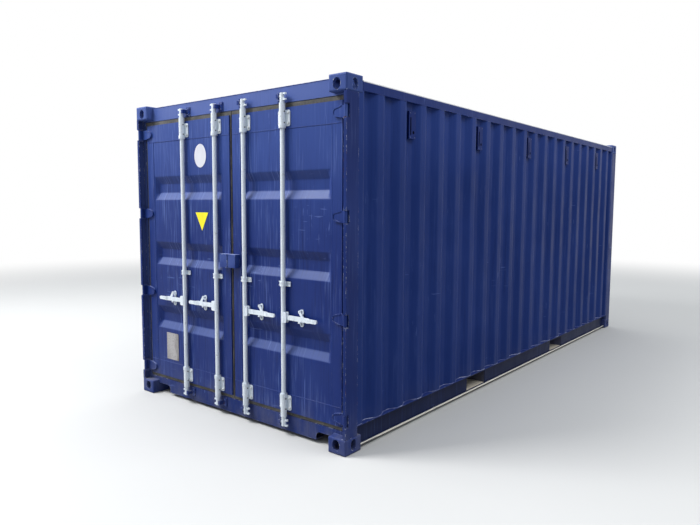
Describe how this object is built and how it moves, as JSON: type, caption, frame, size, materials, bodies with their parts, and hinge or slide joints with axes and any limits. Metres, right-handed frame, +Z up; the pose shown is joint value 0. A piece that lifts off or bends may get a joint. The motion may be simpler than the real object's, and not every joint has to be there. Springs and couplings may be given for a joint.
{
  "type": "shipping container",
  "caption": "Blue steel dry cargo container with corrugated walls, swinging cargo doors with lever-handled locking bars, corner castings and fork pockets.",
  "frame": {"origin": "middle of the ground plane below the container, at the underside of the corner castings", "axes": "+X along the length from the door end to the blind front end, +Y toward the left long side as seen from outside the doors, +Z up"},
  "size_m": [6.058, 2.438, 2.591],
  "materials": {
    "blue_paint": "satin",
    "casting_paint": "satin",
    "zinc": "galvanised",
    "seal_rubber": "matte",
    "plywood": "matte"
  },
  "bodies": {
    "frame": {"door_castings_top": "casting_paint", "door_castings_bottom": "casting_paint", "front_castings_top": "casting_paint", "front_castings_bottom": "casting_paint", "door_post_left": "blue_paint", "door_post_right": "blue_paint", "front_posts": "blue_paint", "door_header": "blue_paint", "door_sill": "blue_paint", "front_top_rail": "blue_paint", "front_sill": "blue_paint", "top_rail_left": "blue_paint", "top_rail_right": "blue_paint", "bottom_rail_left": "blue_paint", "bottom_rail_right": "blue_paint", "side_wall_left": "blue_paint", "side_wall_right": "blue_paint", "front_wall": "blue_paint", "roof_panel": "blue_paint", "floor_boards": "plywood", "cross_members": "blue_paint", "fork_pockets": "blue_paint", "ventilators": "blue_paint", "cam_keepers": "zinc", "hinge_lugs": "blue_paint"},
    "door_left": {"left_door_frame": "blue_paint", "left_door_panel": "blue_paint", "left_door_gasket": "seal_rubber", "left_door_hinges": "blue_paint", "left_door_fittings": "zinc", "left_lock_box": "blue_paint"},
    "door_right": {"right_door_frame": "blue_paint", "right_door_panel": "blue_paint", "right_door_gasket": "seal_rubber", "right_door_hinges": "blue_paint", "right_door_fittings": "zinc", "right_lock_box": "blue_paint"},
    "locking_bar_1": {"locking_bar_1": "zinc"},
    "locking_bar_2": {"locking_bar_2": "zinc"},
    "locking_bar_3": {"locking_bar_3": "zinc"},
    "locking_bar_4": {"locking_bar_4": "zinc"},
    "handle_1": {"handle_1": "zinc"},
    "handle_2": {"handle_2": "zinc"},
    "handle_3": {"handle_3": "zinc"},
    "handle_4": {"handle_4": "zinc"}
  },
  "joints": [
    {"name": "door_left_hinge", "type": "hinge", "parent": "frame", "child": "door_left", "pos_m": [-3.012, 1.197, 1.2955], "axis": [0, 0, -1], "range_deg": [0, 260]},
    {"name": "door_right_hinge", "type": "hinge", "parent": "frame", "child": "door_right", "pos_m": [-3.012, -1.197, 1.2955], "axis": [0, 0, 1], "range_deg": [0, 260]},
    {"name": "locking_bar_1_turn", "type": "hinge", "parent": "door_left", "child": "locking_bar_1", "pos_m": [-2.997, 0.595, 1.3], "axis": [0, 0, -1], "range_deg": [-95, 0]},
    {"name": "locking_bar_2_turn", "type": "hinge", "parent": "door_left", "child": "locking_bar_2", "pos_m": [-2.997, 0.172, 1.3], "axis": [0, 0, -1], "range_deg": [-95, 0]},
    {"name": "locking_bar_3_turn", "type": "hinge", "parent": "door_right", "child": "locking_bar_3", "pos_m": [-2.997, -0.172, 1.3], "axis": [0, 0, 1], "range_deg": [-95, 0]},
    {"name": "locking_bar_4_turn", "type": "hinge", "parent": "door_right", "child": "locking_bar_4", "pos_m": [-2.997, -0.595, 1.3], "axis": [0, 0, 1], "range_deg": [-95, 0]},
    {"name": "handle_1_lift", "type": "hinge", "parent": "locking_bar_1", "child": "handle_1", "pos_m": [-3, 0.626, 0.903], "axis": [-1, 0, 0], "range_deg": [-30, 0]},
    {"name": "handle_2_lift", "type": "hinge", "parent": "locking_bar_2", "child": "handle_2", "pos_m": [-3, 0.203, 0.903], "axis": [-1, 0, 0], "range_deg": [-30, 0]},
    {"name": "handle_3_lift", "type": "hinge", "parent": "locking_bar_3", "child": "handle_3", "pos_m": [-3, -0.203, 0.903], "axis": [1, 0, 0], "range_deg": [-30, 0]},
    {"name": "handle_4_lift", "type": "hinge", "parent": "locking_bar_4", "child": "handle_4", "pos_m": [-3, -0.626, 0.903], "axis": [1, 0, 0], "range_deg": [-30, 0]}
  ]
}
